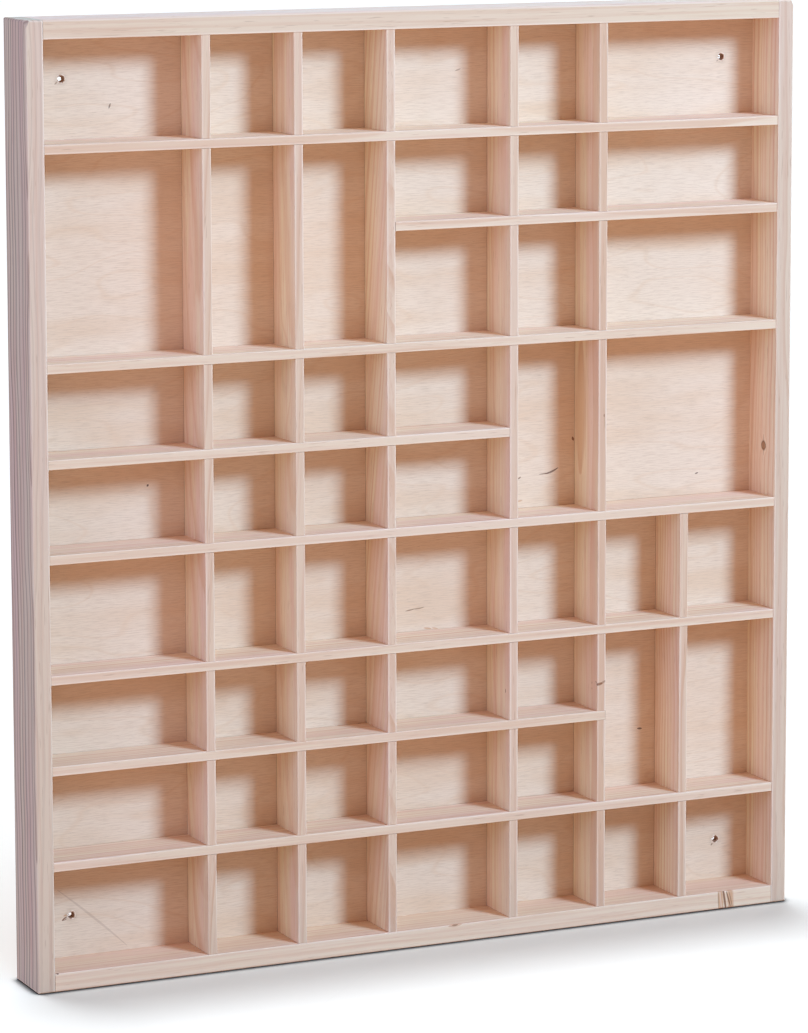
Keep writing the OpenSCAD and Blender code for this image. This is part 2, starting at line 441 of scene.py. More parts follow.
def addMarks(tree, place, colour, marks):
    for line, depth, tint in marks:
        drawn = useGroup(tree, streak, Vector=place, **line)
        colour = mixColours(tree, mathNode(tree, "MULTIPLY", drawn["Line"], depth), colour, tint)
    return colour


# Pine: widths and depths are in mm, and shares go from 0 to 1
pineLook = {
    "early": (0.82, 0.64, 0.49),
    "late": (0.67, 0.385, 0.24),
    "blushed": (0.80, 0.55, 0.465),
    "streak": (0.72, 0.46, 0.33),
    "fleck": (0.47, 0.28, 0.18),
    # Pale colour of eased and rubbed edges, partly wear and partly painted highlight
    "paleWearAndHighlight": (0.97, 0.84, 0.70),
    # Colour of the painted shade in the joints and at the back corner
    "jointShade": (0.20, 0.10, 0.05),
    "endGrain": (0.50, 0.34, 0.23),
    "knotCore": (0.40, 0.20, 0.11),
    "knotRing": (0.24, 0.115, 0.06),
    "frontRange": (-0.95, -0.7),
    "endRange": (0.6, 0.95),
    "blushRange": (0.4, 0.66),
    "frontBlush": 0.35,
    "fibreRange": (0.42, 0.7),
    "fibreShare": 0.55,
    "fleckShare": 0.35,
    # Share of the painted highlight on eased edges, and the way it faces on boards along X and along Z
    "edgeShare": 0.7,
    "edgeFacing": {"X": (0, 0, -0.7), "Z": (0.7, 0, 0)},
    "wearAndHighlightShare": 0.42,
    "wearAndHighlightRange": (0.2, 1.3),
    "patchRange": (0.35, 0.6),
    "patchLeast": 0.3,
    "jointShadeWidth": 0.35,
    "backCornerShadeFrom": 0.9,
    "backCornerShadeTo": 0.2,
    "roughness": (0.7, 0.54),
    "specular": 0.2,
    "bumpStrength": 0.35,
    "bumpDepth": 0.12,
}


# Grain says where the heart of the tree lies, in mm across and through the board from the origin (pith),
# how it is turned in degrees (tilt, lean), and how far apart the rings are in mm (pitch)
def pineMaterial(node, grain, along, knots=(), marks=()):
    look = pineLook
    material, tree, shader = startMaterial("pine_" + node)
    coordinates = tree.nodes.new("ShaderNodeTexCoord")
    place = coordinates.outputs["Object"]
    turned = tree.nodes.new("ShaderNodeMapping")
    turned.inputs["Location"].default_value = inMetres((*grain["pith"], 0))
    quarter = math.pi / 2 if along == "X" else 0.0
    lean = math.radians(grain.get("lean", 0))
    turned.inputs["Rotation"].default_value = (math.radians(grain["tilt"]), quarter + lean, 0)
    connect(tree, place, turned.inputs["Vector"])
    low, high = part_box(node)
    bend = 0.0
    shapes = []
    for eye in knots:
        centre = inMetres(eye["at"])
        shape = useGroup(tree, knot, Vector=place, Centre=centre, Reach=inMetres(eye["reach"]))
        bend = mathNode(tree, "MULTIPLY_ADD", shape["Bend"], eye["push"], bend)
        shapes.append((shape, eye["depth"]))
    wood = useGroup(tree, pineGrain, Vector=turned.outputs[0], Pitch=grain["pitch"], Bend=bend,
                    Wander=grain["wander"], Seed=grain["seed"], Least=grain["least"])
    depths = useGroup(tree, boardDepths, Vector=place, Low=low, High=high)
    wearAndHighlight = useGroup(tree, edgeWearAndHighlight, Normal=coordinates.outputs["Normal"], Facing=look["edgeFacing"][along])
    normal = splitVector(tree, coordinates.outputs["Normal"])
    inward = splitVector(tree, place)["Y"]
    onFront = softStep(tree, normal["Y"], *look["frontRange"], 1.0, 0.0)

    def laid(mask, share, colour, over):
        return mixColours(tree, mathNode(tree, "MULTIPLY", mask, share), colour, over)

    # Early and late wood, fibres and knots
    blush = softStep(tree, wood["Blush"], *look["blushRange"], 0.0, grain["blush"])
    frontBlush = softStep(tree, onFront, 0.0, 1.0, 1.0, look["frontBlush"])
    colour = laid(blush, frontBlush, look["early"], look["blushed"])
    frontContrast = grain.get("frontContrast", grain["contrast"])
    contrast = softStep(tree, onFront, 0.0, 1.0, grain["contrast"], frontContrast)
    colour = laid(wood["Late"], contrast, colour, grain.get("late", look["late"]))
    fibre = softStep(tree, wood["Fibre"], *look["fibreRange"], 0.0, look["fibreShare"])
    colour = mixColours(tree, fibre, colour, look["streak"])
    colour = laid(wood["Fleck"], look["fleckShare"], colour, look["fleck"])
    for shape, depth in shapes:
        colour = laid(shape["Ring"], depth, colour, look["knotRing"])
        colour = laid(shape["Core"], depth, colour, look["knotCore"])

    # The board's tone, with painted light on it: painted bounce light warms the faces towards the back, and
    # the front faces, which take the key light, are recoloured apart from the side faces that lie in shade;
    # then its end grain
    tone = softStep(tree, inward, low.y, high.y)
    tint = mixColours(tree, tone, grain["tint"], grain.get("rearBounceTint", grain["tint"]))
    colour = mixColours(tree, 1.0, colour, tint, "MULTIPLY")
    colour = mixColours(tree, onFront, colour, grain["frontTint"], "MULTIPLY")
    onEnd = mathNode(tree, "ABSOLUTE", normal[along])
    onEnd = softStep(tree, onEnd, *look["endRange"], 0.0, grain["endGrain"])
    colour = mixColours(tree, onEnd, colour, look["endGrain"])

    # Eased and rubbed edges, lightened partly as wear and partly as painted highlight; painted shade in the
    # joints where boards meet and at the back corner against the panel; and single marks
    colour = laid(wearAndHighlight["WornAndLit"], look["edgeShare"], colour, look["paleWearAndHighlight"])
    across = "Z" if along == "X" else "X"
    rubbedAndLit = softStep(tree, depths[across], *inMetres(look["wearAndHighlightRange"]), look["wearAndHighlightShare"], 0.0)
    patches = softStep(tree, wood["Blush"], *look["patchRange"], look["patchLeast"], 1.0)
    colour = laid(mathNode(tree, "MULTIPLY", rubbedAndLit, patches), onFront, colour, look["paleWearAndHighlight"])
    # Painted shade in the gaps at the board's ends where it meets other boards, and along its back edge
    # against the panel
    jointShade = softStep(tree, depths[along], 0.0, look["jointShadeWidth"] * mm, 1.0, 0.0)
    colour = laid(jointShade, grain.get("jointShade", 0.0), colour, look["jointShade"])
    atBack = softStep(tree, inward, high.y - look["backCornerShadeFrom"] * mm, high.y - look["backCornerShadeTo"] * mm)
    colour = laid(atBack, grain.get("backCornerShade", 0.0), colour, look["jointShade"])
    colour = addMarks(tree, place, colour, marks)
    connect(tree, colour, shader.inputs["Base Color"])
    connect(tree, softStep(tree, wood["Late"], 0.0, 1.0, *look["roughness"]), shader.inputs["Roughness"])
    shader.inputs["Specular IOR Level"].default_value = look["specular"]
    bumpFrom(tree, wood["Height"], look["bumpStrength"], look["bumpDepth"] * mm, shader)
    return material


def dress(node, material):
    slots = boards[node].material_slots
    for slot in slots:
        slot.material = material
    if not slots:
        boards[node].data.materials.append(material)


# Frame boards, with the knots and marks that show on them; places are in mm
frameGrain = {
    "left_side": {
        "pith": (265, 70), "pitch": 2.7, "tilt": 0.6, "wander": 11, "seed": (3, 8, 40),
        "contrast": 0.85, "frontContrast": 0.2, "least": 0.5, "late": (0.26, 0.145, 0.105),
        "blush": 0.9, "endGrain": 0.3,
        "tint": (0.895, 1.045, 1.065), "frontTint": (1.0, 0.886, 0.864),
    },
    "right_side": {
        "pith": (-150, 70), "pitch": 3.0, "tilt": -0.3, "wander": 9, "seed": (90, 4, 7),
        "contrast": 0.8, "frontContrast": 0.45, "least": 0.35, "blush": 0.7, "endGrain": 0.3,
        # Painted light: the inner face, which lies in shade, is lightened and warmed towards the back as
        # painted bounce light, and the front is recoloured apart
        "tint": (1.17, 1.33, 1.4), "rearBounceTint": (1.21, 1.3, 1.21), "frontTint": (0.757, 0.674, 0.63),
    },
    "top_rail": {
        "pith": (-505, 60), "pitch": 3.3, "tilt": 0.2, "wander": 5, "seed": (11, 50, 2),
        "contrast": 0.4, "least": 0.3, "blush": 0.5, "endGrain": 0.6, "jointShade": 0.3,
        "tint": (1.05, 1.04, 1.1), "frontTint": (0.904, 0.943, 0.848),
    },
    "bottom_rail": {
        "pith": (45, 60), "pitch": 3.1, "tilt": -0.2, "wander": 5, "seed": (31, 5, 77),
        "contrast": 0.5, "least": 0.3, "blush": 0.6, "endGrain": 0.6, "jointShade": 0.3,
        "tint": (1.059, 1.053, 1.01), "frontTint": (1.05, 1.092, 1.091),
    },
}
frameKnots = {
    "right_side": [{"at": (191.5, -3.5, 231.5), "reach": (3, 1.75, 1.8), "push": 2.6, "depth": 0.9}],
}
frameMarks = {
    "right_side": [mark((191.5, -3.5, 237), (191.5, -3.5, 226.5), 1.0, 0.3, "brown")],
    "bottom_rail": [
        mark((162.5, -15, 9.5), (163.1, -15, 0), 1.9, 0.7, "orange", taper=0),
        mark((168.0, -15, 9.5), (168.6, -15, 0), 2.4, 0.65, "orange", taper=0),
        mark((162.3, -15, 9.0), (163.2, -15, 1), 0.6, 0.45, "pale", taper=0),
        mark((164.2, -15, 9.4), (165.7, -15, 0.2), 0.85, 0.85, "brown", taper=0.3),
        mark((166.0, -15, 8.6), (168.3, -15, 1), 0.6, 0.75, "brown", taper=0.8),
        mark((167.6, -15, 8.2), (169.3, -15, 1), 0.45, 0.5, "brown", taper=0.9),
        mark((161.3, -15, 8.6), (161.5, -15, 0.8), 0.4, 0.5, "brown", taper=0.5),
        mark((-190.9, -14.9, 9.4), (-190.2, -14.9, 9.1), 0.75, 0.95, "ink", taper=0),
        mark((12.0, -15, 8.4), (19.0, -15, 8.9), 1.3, 0.5, "orange"),
        mark((13.8, -15, 8.6), (17.0, -15, 8.9), 0.8, 0.6, "brown"),
    ],
}
for node, grain in frameGrain.items():
    along = "X" if "rail" in node else "Z"
    knots = frameKnots.get(node, ())
    marks = frameMarks.get(node, ())
    dress(node, pineMaterial(node, grain, along, knots, marks))
print("frame boards dressed")

# Dividers: each has its own place in the log; lists go from the left upright to the right one
uprightGrain = {
    "pith": [(166, 13), (120, 16), (55, 90), (10, 60), (-45, 44), (-80, 78)],
    "pitch": [4.2, 5.0, 5.4, 6.4, 6.0, 2.3],
    "tilt": [0.25, -0.3, -9, 0.5, 0.6, -0.1],
    "lean": [-3.5, -2.5, 0, 0.4, 0.3, 0],
    "contrast": [0.6, 0.5, 0.65, 0.6, 0.65, 0.8],
    "least": [0.3, 0.2, 0.45, 0.1, 0.1, 0.5],
    "wander": [9, 9, 7, 12, 10, 7],
    "blush": 0.8,
    "endGrain": 0.5,
    "jointShade": 0.35,
    "backCornerShade": 0.4,
    # Painted light: the side faces, which lie in shade, are lightened and warmed towards the back as
    # painted bounce light, and the fronts that take the key light are recoloured apart
    "tint": (1.17, 1.33, 1.4),
    "rearBounceTint": (1.21, 1.3, 1.21),
    "frontTint": (0.807, 0.691, 0.622),
}
uprightKnots = {
    2: [{"at": (-67.5, -2.5, 283), "reach": (4, 3.5, 8), "push": 5.0, "depth": 0.1}],
}
uprightMarks = {
    4: [mark((45, -10.2, 122.4), (45, -10.2, 120.2), 0.45, 0.7, "brown")],
    5: [
        mark((92.6, -14.4, 120.8), (95.2, -14.7, 121.3), 1.0, 0.8, "brown", taper=0.3),
        mark((95.0, -14.7, 121.3), (97.3, -14.7, 122.4), 0.8, 0.5, "brown", taper=0.4),
        mark((93.0, 4.0, 288), (93.0, 4.5, 224), 8.0, 0.42, "orange"),
        mark((93.0, 4.0, 281), (93.0, 4.5, 231), 5.4, 0.6, "honey"),
        mark((93.0, -14.0, 121.6), (93.0, -12.6, 122.2), 0.6, 0.45, "brown"),
        mark((93.0, -8.8, 121.4), (93.0, -8.8, 120.2), 0.5, 0.4, "brown"),
        mark((93.0, -8.8, 118.4), (93.0, -8.8, 117.4), 0.5, 0.4, "brown"),
        mark((96.1, -14.7, 255.0), (96.1, -14.7, 253.4), 0.5, 0.6, "brown"),
    ],
}
uprightSeed = Vector((17, 41, 9))
for number in range(1, 7):
    node = "upright_" + str(number)
    grain = {}
    for name, value in uprightGrain.items():
        grain[name] = value[number - 1] if isinstance(value, list) else value
    grain["seed"] = tuple(uprightSeed * number)
    knots = uprightKnots.get(number, ())
    marks = uprightMarks.get(number, ())
    dress(node, pineMaterial(node, grain, "Z", knots, marks))

# Painted light on the shelves: they run evenly from paler and cooler on the upper one to darker and warmer
# on the lower one, standing in for the fuller light on the upper rows; their front edges are all alike
shelfGrain = {
    "firstPith": -450,
    "drop": 47,
    "pithShift": 9,
    "through": (47, 63),
    "tilt": 0.5,
    "pitch": (2.6, 4.2),
    "contrast": (0.6, 0.9),
    "least": 0.3,
    "wander": 6,
    "blush": 0.7,
    "endGrain": 0.5,
    "jointShade": 0.4,
    "backCornerShade": 0.3,
    "upperLightingTint": (1.15, 1.28, 1.335),
    "lowerLightingTint": (1.07, 1.11, 1.10),
    "front": (1.015, 1.034, 0.993),
}
draw = random.Random(7)
shelfSeed = Vector((23, 13, 57))
shelfCount = 8
upperLightingTint = Vector(shelfGrain["upperLightingTint"])
lowerLightingTint = Vector(shelfGrain["lowerLightingTint"])
for number in range(1, shelfCount + 1):
    node = "shelf_" + str(number)
    grain = dict(shelfGrain)
    grain["tint"] = tuple(upperLightingTint.lerp(lowerLightingTint, (number - 1) / (shelfCount - 1)))
    grain["frontTint"] = tuple(front / top for front, top in zip(shelfGrain["front"], grain["tint"]))
    pithAcross = shelfGrain["firstPith"] + shelfGrain["drop"] * number
    pithAcross += draw.uniform(-shelfGrain["pithShift"], shelfGrain["pithShift"])
    grain["pith"] = (pithAcross, draw.uniform(*shelfGrain["through"]))
    grain["pitch"] = draw.uniform(*shelfGrain["pitch"])
    grain["tilt"] = draw.uniform(-shelfGrain["tilt"], shelfGrain["tilt"])
    grain["contrast"] = draw.uniform(*shelfGrain["contrast"])
    grain["seed"] = tuple(shelfSeed * number)
    dress(node, pineMaterial(node, grain, "X"))
print("dividers dressed")


# Plywood back; its marks lie on the front face, and lengths are in mm
panelLook = {
    "pale": (0.885, 0.705, 0.545),
    "warm": (0.82, 0.595, 0.415),
    "fibre": (0.67, 0.485, 0.345),
    "pore": (0.48, 0.31, 0.20),
    "bruise": (0.42, 0.25, 0.15),
    "plyLight": (0.40, 0.27, 0.18),
    "plyDark": (0.22, 0.13, 0.08),
    "mottleRange": (0.38, 0.7),
    "mottleShare": 0.7,
    "figureRange": (0.8, 1.0),
    "figureShare": 0.45,
    "fibreRange": (0.4, 0.7),
    "fibreShare": 0.46,
    "poreShare": 0.3,
    "bruiseRange": (2.0, 4.6),
    "bruiseShare": 0.16,
    "plyThickness": 1.35,
    "glueRange": (0.5, 0.8),
    "cutRange": (0.3, 0.7),
    "roughness": (0.6, 0.76),
    "specular": 0.2,
    "bumpStrength": 0.25,
    "bumpDepth": 0.06,
}
panelMarks = [
    mark((73.5, 11, 222.9), (79.0, 11, 223.3), 0.5, 0.6, "brown"),
    mark((76.8, 11, 223.0), (84.0, 11, 225.6), 0.7, 0.7, "ink", bow=(0.1, 0, -0.4)),
    mark((62.0, 11, 221.4), (63.6, 11, 222.4), 0.6, 0.65, "brown"),
    mark((61.5, 11, 210.2), (64.5, 11, 210.8), 0.7, 0.5, "orange"),
    mark((1.2, 11, 160.7), (5.6, 11, 161.3), 0.5, 0.6, "brown"),
    mark((4.8, 11, 161.4), (11.2, 11, 161.9), 0.5, 0.55, "brown", bow=(0, 0, -0.2)),
    mark((11.0, 11, 151.6), (15.0, 11, 150.9), 0.7, 0.6, "orange"),
    mark((15.4, 11, 151.3), (18.6, 11, 150.6), 0.6, 0.55, "orange"),
    mark((125.0, 11, 207.0), (127.4, 11, 206.2), 0.7, 0.5, "orange"),
    mark((128.8, 11, 90.4), (131.4, 11, 90.2), 0.7, 0.75, "ink"),
    mark((160.6, 11, 217.2), (162.4, 11, 217.7), 0.6, 0.65, "ink"),
    mark((91.8, 11, 240.4), (92.5, 11, 238.6), 0.9, 0.85, "brown"),
    mark((-150.0, 11, 410.6), (-149.2, 11, 412.9), 0.6, 0.65, "ink"),
    mark((-180.5, 11, 42.0), (-145.5, 11, 11.0), 0.85, 0.2, "brown", bow=(0.2, 0, 0.5)),
    mark((-132.9, 11, 231.7), (-132.2, 11, 232.6), 0.75, 0.9, "ink"),
    mark((28, 11, 422.5), (31, 11, 423.5), 0.5, 0.45, "brown"),
    mark((-175.2, 11, 28.3), (-178.2, 11, 26.8), 0.9, 0.85, "brown"),
    mark((-175.6, 11, 29.4), (-177.4, 11, 28.9), 0.6, 0.6, "orange"),
    mark((172.2, 11, 27.2), (171.3, 11, 25.9), 0.6, 0.6, "brown"),
    mark((-175.3, 11, 423.7), (-176.6, 11, 422.6), 0.6, 0.5, "brown"),
    mark((171.9, 11, 423.4), (171.0, 11, 422.8), 0.5, 0.4, "brown"),
]


def screwPlaces():
    mount = next(m for m in frame["record"]["mounts"] if m["name"] == "wall_screws")
    halfX = mount["dims"]["spacing_x_mm"] / 2 * mm
    halfZ = mount["dims"]["spacing_y_mm"] / 2 * mm
    x, y, z = mount["pos_m"]
    return [Vector((x + sideX * halfX, y, z + sideZ * halfZ)) for sideZ in (1, -1) for sideX in (-1, 1)]


# Distance from the axis of the nearest screw hole
def fromHole(tree, place):
    nearest = 1.0
    for hole in screwPlaces():
        apart = vectorNode(tree, "MULTIPLY", vectorNode(tree, "SUBTRACT", place, tuple(hole)), (1, 0, 1))
        nearest = mathNode(tree, "MINIMUM", vectorNode(tree, "LENGTH", apart, output=1), nearest)
    return nearest


def panelMaterial():
    look = panelLook
    material, tree, shader = startMaterial("plywood_back")
    coordinates = tree.nodes.new("ShaderNodeTexCoord")
    place = coordinates.outputs["Object"]
    face = useGroup(tree, veneer, Vector=place)
    mottle = softStep(tree, face["Mottle"], *look["mottleRange"], 0.0, look["mottleShare"])
    figure = softStep(tree, face["Figure"], *look["figureRange"], 0.0, look["figureShare"])
    fibre = softStep(tree, face["Fibre"], *look["fibreRange"], 0.0, look["fibreShare"])
    pore = mathNode(tree, "MULTIPLY", face["Pore"], look["poreShare"])
    colour = mixColours(tree, mottle, look["pale"], look["warm"])
    colour = mixColours(tree, figure, colour, look["warm"])
    colour = mixColours(tree, fibre, colour, look["fibre"])
    colour = mixColours(tree, pore, colour, look["pore"])
    colour = addMarks(tree, place, colour, panelMarks)
    away = fromHole(tree, place)
    bruise = softStep(tree, away, *inMetres(look["bruiseRange"]), look["bruiseShare"], 0.0)
    colour = mixColours(tree, bruise, colour, look["bruise"])
    # Plies show where the panel is cut, so on every face that doesn't look along Y
    across = mathNode(tree, "ABSOLUTE", splitVector(tree, coordinates.outputs["Normal"])["Y"])
    cut = softStep(tree, across, *look["cutRange"], 1.0, 0.0)
    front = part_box("back_panel")[0].y
    behind = mathNode(tree, "SUBTRACT", splitVector(tree, place)["Y"], front)
    layer = mathNode(tree, "PINGPONG", behind, look["plyThickness"] * mm)
    glue = softStep(tree, layer, *inMetres(look["glueRange"]))
    plies = mixColours(tree, glue, look["plyLight"], look["plyDark"])
    connect(tree, mixColours(tree, cut, colour, plies), shader.inputs["Base Color"])
    connect(tree, softStep(tree, face["Fibre"], 0.2, 0.8, *look["roughness"]), shader.inputs["Roughness"])
    shader.inputs["Specular IOR Level"].default_value = look["specular"]
    bumpFrom(tree, face["Height"], look["bumpStrength"], look["bumpDepth"] * mm, shader)
    return material


dress("back_panel", panelMaterial())
print("back panel dressed")


# Steel pins with drawn-wire lines, and beech dowels with short flecks; noises have features per metre
pinLook = {
    "drawn": (9000, 300, 9000),
    "dull": (900, 900, 900),
    "dark": (0.36, 0.37, 0.39),
    "bright": (0.62, 0.63, 0.65),
    "tarnish": (0.24, 0.21, 0.19),
    "tarnishRange": (0.5, 0.75),
    "tarnishShare": 0.5,
    "roughness": (0.28, 0.55),
    "bumpStrength": 0.2,
    "bumpDepth": 0.03,
}
dowelLook = {
    "flecks": (260, 2600, 2600),
    "tone": (40, 300, 300),
    "dark": (0.66, 0.44, 0.28),
    "bright": (0.76, 0.55, 0.37),
    "fleck": (0.42, 0.24, 0.13),
    "fleckRange": (0.55, 0.7),
    "fleckShare": 0.6,
    "roughness": (0.55, 0.7),
    "bumpStrength": 0.25,
    "bumpDepth": 0.05,
}


def pinMaterial(look):
    material, tree, shader = startMaterial("steel_pins")
    place = tree.nodes.new("ShaderNodeTexCoord").outputs["Object"]
    drawn = noiseNode(tree, place, look["drawn"], 3.0)
    dull = noiseNode(tree, place, look["dull"])
    colour = mixColours(tree, drawn, look["dark"], look["bright"])
    tarnish = softStep(tree, dull, *look["tarnishRange"], 0.0, look["tarnishShare"])
    connect(tree, mixColours(tree, tarnish, colour, look["tarnish"]), shader.inputs["Base Color"])
    connect(tree, softStep(tree, dull, 0.3, 0.8, *look["roughness"]), shader.inputs["Roughness"])
    shader.inputs["Metallic"].default_value = 1.0
    bumpFrom(tree, drawn, look["bumpStrength"], look["bumpDepth"] * mm, shader)
    return material


def dowelMaterial(look):
    material, tree, shader = startMaterial("beech_dowels")
    place = tree.nodes.new("ShaderNodeTexCoord").outputs["Object"]
    flecks = noiseNode(tree, place, look["flecks"], 3.0)
    tone = noiseNode(tree, place, look["tone"])
    colour = mixColours(tree, tone, look["dark"], look["bright"])
    short = softStep(tree, flecks, *look["fleckRange"], 0.0, look["fleckShare"])
    connect(tree, mixColours(tree, short, colour, look["fleck"]), shader.inputs["Base Color"])
    connect(tree, softStep(tree, flecks, 0.3, 0.7, *look["roughness"]), shader.inputs["Roughness"])
    bumpFrom(tree, flecks, look["bumpStrength"], look["bumpDepth"] * mm, shader)
    return material


dress("panel_pins", pinMaterial(pinLook))
dress("corner_dowels", dowelMaterial(dowelLook))
print("pins and dowels dressed")


# Torn veneer at the mouth of each screw hole: loops as radius and depth behind the panel's face, in mm,
# and slivers as direction in degrees, distance, length and lift
tornRim = {
    "sides": 26,
    "loops": [
        (2.45, 0.06), (2.3, 0.0), (2.05, -0.08), (1.8, -0.06),
        (1.6, 0.15), (1.4, 1.3), (1.05, 2.7), (1.9, 3.1),
    ],
    "ragged": 0.22,
    "raggedSteps": (1, 2, 3),
    "torn": (0.88, 0.69, 0.54),
    # Colour of the painted shade on the hole's inner wall
    "inside": (0.47, 0.275, 0.185),
    "holeShadeRange": (1.55, 1.85),
    "holeShadeShare": 0.95,
    "hairs": (700, 3000, 3200),
    "hairRange": (0.42, 0.72),
    "hairShare": 0.55,
    "roughness": (0.65, 0.85),
    "bumpStrength": 0.4,
    "bumpDepth": 0.08,
    "smoothAngle": 40,
    "sliverSides": 6,
    "sliverWidth": 0.22,
    "sliverTip": 0.04,
    "sliverFlat": 0.6,
    "sliverHeight": 0.2,
    "sliverRagged": 0.06,
    "slivers": [
        [(195, 2.3, 1.6, 8), (20, 2.2, 1.3, 12), (100, 1.9, 0.9, 20), (250, 2.0, 1.0, 15)],
        [(178, 1.7, 1.4, 10), (90, 2.1, 1.0, 10), (300, 2.2, 1.2, 8)],
        [(205, 3.2, 2.4, 6), (170, 1.8, 1.5, 15), (95, 2.0, 1.1, 14), (330, 2.4, 1.3, 8)],
        [(215, 3.0, 2.2, 6), (150, 1.7, 1.3, 14), (10, 2.4, 1.2, 8)],
    ],
}


def rimMaterial(setup):
    material, tree, shader = startMaterial("torn_veneer")
    place = tree.nodes.new("ShaderNodeTexCoord").outputs["Object"]
    hairs = noiseNode(tree, place, setup["hairs"], 4.0, 0.65)
    dark = softStep(tree, hairs, *setup["hairRange"], 0.0, setup["hairShare"])
    colour = mixColours(tree, dark, setup["torn"], panelLook["fibre"])
    away = fromHole(tree, place)
    # Painted shade: the hole's inner wall is darkened towards the hole's axis
    inside = softStep(tree, away, *inMetres(setup["holeShadeRange"]), setup["holeShadeShare"], 0.0)
    connect(tree, mixColours(tree, inside, colour, setup["inside"]), shader.inputs["Base Color"])
    connect(tree, softStep(tree, hairs, 0.2, 0.8, *setup["roughness"]), shader.inputs["Roughness"])
    bumpFrom(tree, hairs, setup["bumpStrength"], setup["bumpDepth"] * mm, shader)
    return material


def makeTornRim(number, hole, setup, material):
    bpy.ops.object.select_all(action="DESELECT")
    firstRadius, firstDepth = setup["loops"][0]
    start = hole + Vector((0, firstDepth * mm, 0))
    bpy.ops.mesh.primitive_circle_add(vertices=setup["sides"], radius=firstRadius * mm, location=start,
                                      rotation=(math.pi / 2, 0, 0))
    rim = bpy.context.object
    rim.name = "screw_hole_rim_" + str(number)
    bpy.ops.object.transform_apply(location=True, rotation=True, scale=True)
    bpy.ops.object.mode_set(mode="EDIT")
    bpy.ops.mesh.select_mode(type="VERT")
    bpy.ops.mesh.select_all(action="SELECT")
    radius, depth = firstRadius, firstDepth
    for step, (nextRadius, nextDepth) in enumerate(setup["loops"][1:]):
        inwards = (0, (nextDepth - depth) * mm, 0)
        bpy.ops.mesh.extrude_region_move(TRANSFORM_OT_translate={"value": inwards})
        scale = nextRadius / radius
        bpy.ops.transform.resize(value=(scale, 1, scale), center_override=hole)
        if step in setup["raggedSteps"]:
            bpy.ops.transform.vertex_random(offset=setup["ragged"] * mm, uniform=0.7, normal=0.0,
                                            seed=10 * number + step)
        radius, depth = nextRadius, nextDepth
    bpy.ops.mesh.select_all(action="DESELECT")
    bpy.ops.mesh.select_non_manifold()
    bpy.ops.mesh.bridge_edge_loops()
    # Slivers are thin cones that lie against the rim
    for direction, away, length, lift in setup["slivers"][number - 1]:
        turn = math.radians(direction)
        proud = -setup["sliverHeight"]
        middle = hole + Vector((math.cos(turn) * away * mm, proud * mm, math.sin(turn) * away * mm))
        bpy.ops.mesh.select_all(action="DESELECT")
        bpy.ops.mesh.primitive_cone_add(vertices=setup["sliverSides"], radius1=setup["sliverWidth"] * mm,
                                        radius2=setup["sliverTip"] * mm, depth=length * mm, location=middle,
                                        rotation=(math.radians(lift), math.pi / 2 - turn, 0))
        bpy.ops.transform.resize(value=(1, setup["sliverFlat"], 1), center_override=middle)
        bpy.ops.mesh.subdivide(number_cuts=2)
        bpy.ops.transform.vertex_random(offset=setup["sliverRagged"] * mm, uniform=0.5, normal=0.0,
                                        seed=int(direction) + number)
    bpy.ops.mesh.select_all(action="SELECT")
    bpy.ops.mesh.normals_make_consistent(inside=False)
    bpy.ops.object.mode_set(mode="OBJECT")
    bpy.ops.object.shade_smooth_by_angle(angle=math.radians(setup["smoothAngle"]))
    rim.data.materials.append(material)
    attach(rim, "root")


tornVeneer = rimMaterial(tornRim)
for number, hole in enumerate(screwPlaces(), 1):
    makeTornRim(number, hole, tornRim, tornVeneer)
print("screw hole rims torn")


# Floor and lights; the floor has its own suns, and the lamps leave it alone
studio = {
    "floorSize": 80.0,
    "floorColour": (0.95, 0.95, 0.95),
    "floorBounce": (0.63, 0.43, 0.335),
    "contactShadowColour": (0.17, 0.175, 0.185),
    "contactReach": 5.0,
    "contactRange": (0.5, 1.0),
    "floorRoughness": 0.9,
    "worldColour": (1.0, 0.455, 0.26),
    "worldStrength": 0.183,
    "worldSeen": (1, 1, 1),
    "exposure": 0.0,
    "sharpen": 0.06,
}
lamps = {
    "keyLight": {"place": (0.93, -1.72, 1.34), "size": 0.62, "power": 55.2, "colour": (0.437, 0.713, 1.0)},
    "leftLight": {"place": (-1.9, -0.85, 0.85), "size": 1.2, "power": 9.4, "colour": (0.63, 0.7, 1.0)},
    "sideLight": {"place": (-2.2, 0.25, 0.45), "size": 1.2, "power": 15.0, "colour": (0.165, 0.475, 1.0)},
    "overLight": {"place": (0.0, -1.6, 2.2), "size": 2.0, "power": 8.7, "colour": (1.0, 0.59, 0.415)},
    "topLight": {"place": (0.65, 0.9, 1.9), "size": 1.2, "power": 15.0, "colour": (0.65, 0.93, 0.95)},
    "backLight": {"place": (0.9, 2.4, 1.1), "size": 1.6, "power": 30.0, "colour": (0.5, 0.75, 1.0)},
}
# Suns that light the floor alone; tilt is in degrees behind the vertical
floorSuns = {
    "floorLight": {"power": 2.0, "tilt": 6.5, "spread": 9.0, "colour": (0.9, 0.97, 1.0)},
    "floorFill": {"power": 1.6, "tilt": -25.0, "spread": 40.0, "colour": (0.70, 0.90, 1.0)},
}


def addArea(name, setup, aim):
    data = bpy.data.lights.new(name, "AREA")
    data.shape = "DISK"
    data.size = setup["size"]
    data.energy = setup["power"]
    data.color = setup["colour"]
    lamp = bpy.data.objects.new(name, data)
    lamp.location = setup["place"]
    lamp.rotation_mode = "QUATERNION"
    lamp.rotation_quaternion = (aim - Vector(setup["place"])).to_track_quat("-Z", "Y")
    bpy.context.scene.collection.objects.link(lamp)
    return lamp


def linkLight(lamp, floor, state):
    group = bpy.data.collections.new(lamp.name + "Receivers")
    group.objects.link(floor)
    group.collection_objects[0].light_linking.link_state = state
    lamp.light_linking.receiver_collection = group


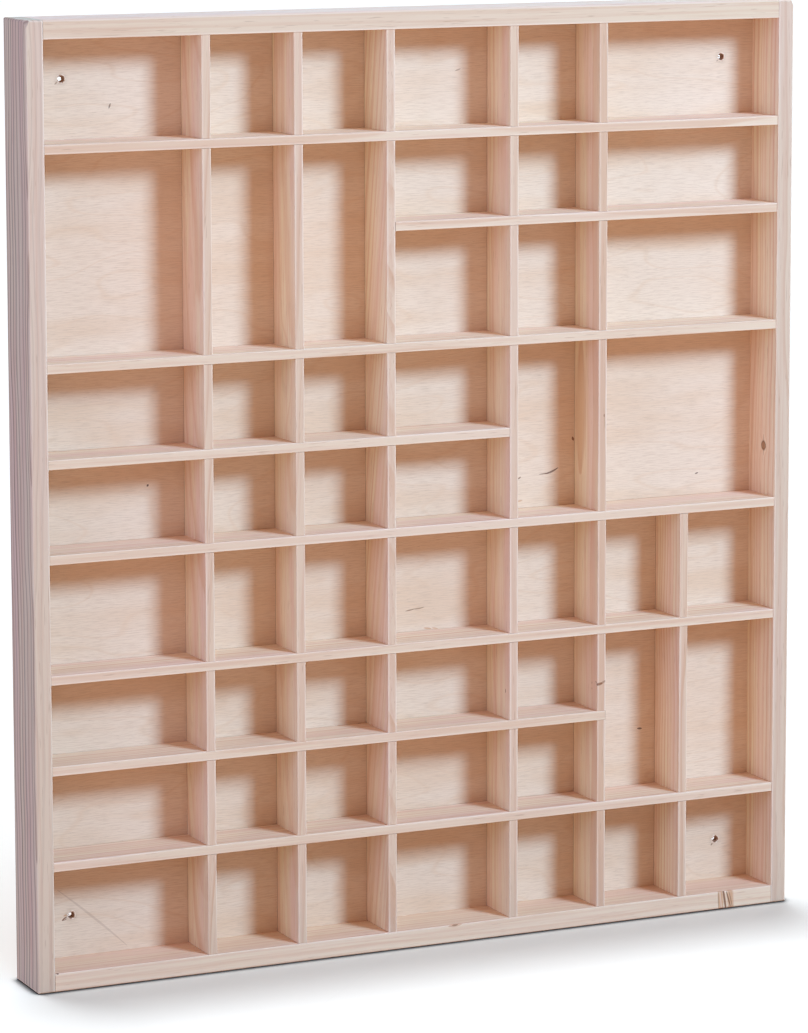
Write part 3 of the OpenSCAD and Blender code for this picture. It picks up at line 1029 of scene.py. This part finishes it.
def makeFloor(setup):
    bpy.ops.object.select_all(action="DESELECT")
    bpy.ops.mesh.primitive_plane_add(size=setup["floorSize"])
    floor = bpy.context.object
    floor.name = "floor"
    material, tree, shader = startMaterial("pale_floor")
    seen = tree.nodes.new("ShaderNodeLightPath").outputs["Is Camera Ray"]
    # Painted contact shadow: the floor turns dark where the occlusion node finds the case close by
    near = tree.nodes.new("ShaderNodeAmbientOcclusion")
    near.inputs["Distance"].default_value = setup["contactReach"] * mm
    contact = softStep(tree, near.outputs["AO"], *setup["contactRange"], 1.0, 0.0)
    shown = mixColours(tree, contact, setup["floorColour"], setup["contactShadowColour"])
    connect(tree, mixColours(tree, seen, setup["floorBounce"], shown), shader.inputs["Base Color"])
    shader.inputs["Roughness"].default_value = setup["floorRoughness"]
    shader.inputs["Specular IOR Level"].default_value = 0.0
    floor.data.materials.append(material)
    return floor


# The finished picture is sharpened a little, as a studio photograph is
def sharpenPicture(share):
    scene = bpy.context.scene
    scene.use_nodes = True
    tree = scene.node_tree
    tree.nodes.clear()
    layer = tree.nodes.new("CompositorNodeRLayers")
    crisp = tree.nodes.new("CompositorNodeFilter")
    crisp.filter_type = "SHARPEN_DIAMOND"
    crisp.inputs["Fac"].default_value = share
    picture = tree.nodes.new("CompositorNodeComposite")
    connect(tree, layer.outputs["Image"], crisp.inputs["Image"])
    connect(tree, crisp.outputs["Image"], picture.inputs["Image"])


def addSun(name, setup):
    data = bpy.data.lights.new(name, "SUN")
    data.energy = setup["power"]
    data.color = setup["colour"]
    data.angle = math.radians(setup["spread"])
    sun = bpy.data.objects.new(name, data)
    sun.rotation_euler = (-math.radians(setup["tilt"]), 0, 0)
    bpy.context.scene.collection.objects.link(sun)
    return sun


def makeStudio(setup):
    floor = makeFloor(setup)
    middle = (cadBox[0] + cadBox[1]) / 2
    for name, lampSetup in lamps.items():
        linkLight(addArea(name, lampSetup, middle), floor, "EXCLUDE")
    for name, sunSetup in floorSuns.items():
        linkLight(addSun(name, sunSetup), floor, "INCLUDE")
    world = bpy.data.worlds.new("studioAir")
    world.use_nodes = True
    tree = world.node_tree
    air = next(n for n in tree.nodes if n.type == "BACKGROUND")
    seen = tree.nodes.new("ShaderNodeLightPath").outputs["Is Camera Ray"]
    connect(tree, mixColours(tree, seen, setup["worldColour"], setup["worldSeen"]), air.inputs["Color"])
    connect(tree, softStep(tree, seen, 0.0, 1.0, setup["worldStrength"], 1.0), air.inputs["Strength"])
    bpy.context.scene.world = world
    view = bpy.context.scene.view_settings
    view.view_transform = "Standard"
    view.exposure = setup["exposure"]
    sharpenPicture(setup["sharpen"])


makeStudio(studio)
print("studio lit")
